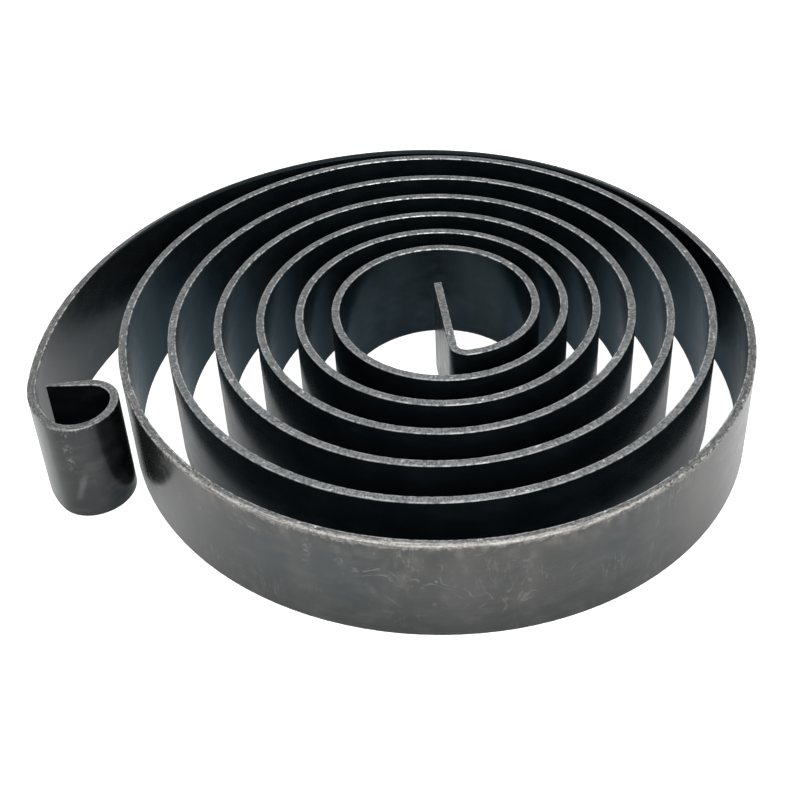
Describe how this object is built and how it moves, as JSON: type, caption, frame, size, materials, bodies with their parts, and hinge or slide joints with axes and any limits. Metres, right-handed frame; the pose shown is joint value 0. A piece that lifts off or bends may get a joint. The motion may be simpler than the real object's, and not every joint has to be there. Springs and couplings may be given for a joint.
{
  "type": "spiral return spring",
  "caption": "Flat spiral spring of one blackened steel strip, with a straight inner tang for a slotted arbor and an outer end curled into a hook; it winds a drill press quill back up.",
  "frame": {"origin": "arbor axis, on the line of the inner tang, at the plane of the strip's lower edge", "axes": "+Z along the arbor, away from the lower edge; -Y from the arbor axis to the foot of the tang; the hook lies at -X"},
  "size_m": [0.0769, 0.0695, 0.012],
  "materials": {
    "blackened_steel": "black oxide, satin, with paler sheared edges"
  },
  "bodies": {
    "root": {"spiral_spring": "blackened_steel"}
  },
  "joints": []
}
